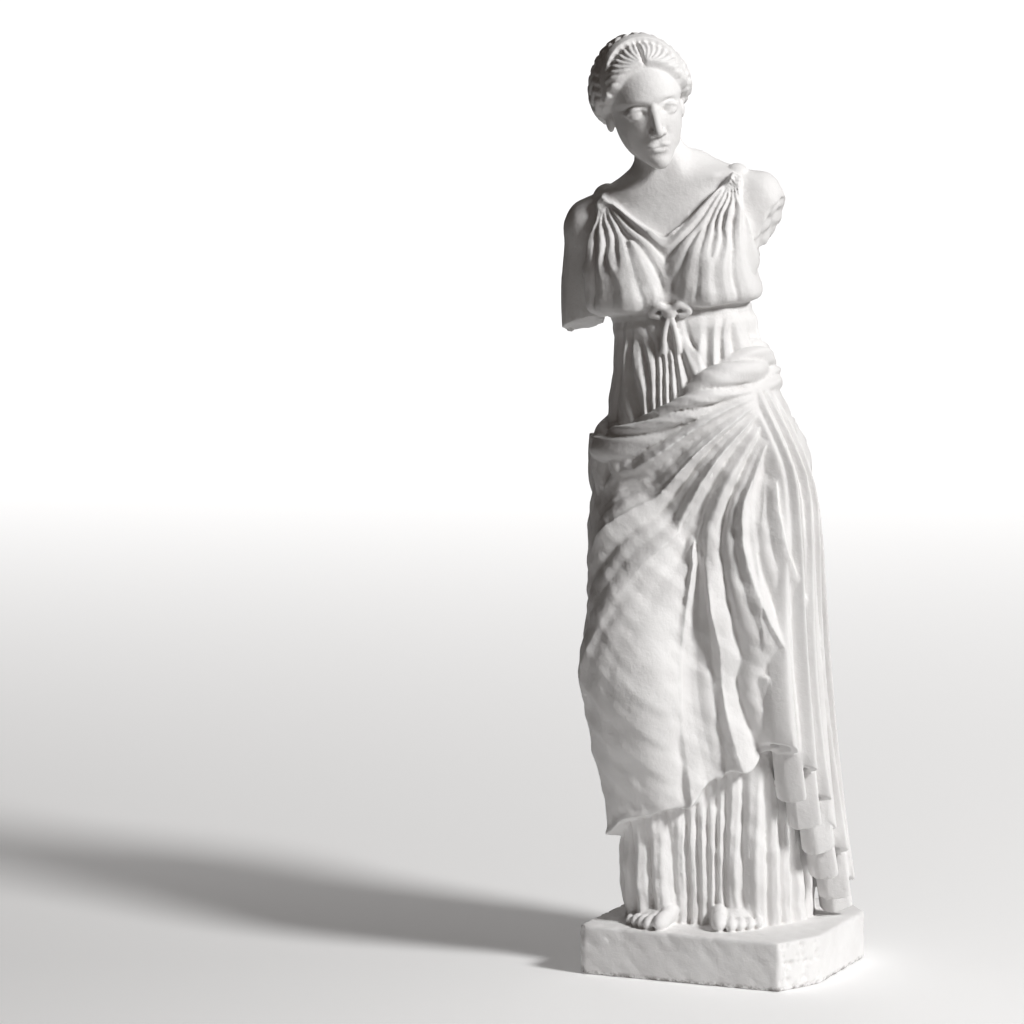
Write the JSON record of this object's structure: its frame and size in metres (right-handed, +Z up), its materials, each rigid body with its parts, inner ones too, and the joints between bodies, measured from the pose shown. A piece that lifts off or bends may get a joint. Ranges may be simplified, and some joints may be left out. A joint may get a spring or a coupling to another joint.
{
  "type": "goddess statue",
  "caption": "White plaster statue of a draped goddess with broken arms, cast in one with a low plinth with cut corners; stands on its flat underside.",
  "frame": {"origin": "middle of the plinth's underside, which stands on z = 0", "axes": "+Z up the figure, -Y out of the plinth's front"},
  "size_m": [0.1363, 0.1105, 0.42],
  "materials": {
    "plaster": "matte"
  },
  "bodies": {
    "root": {"goddess_statue": "plaster"}
  },
  "joints": []
}
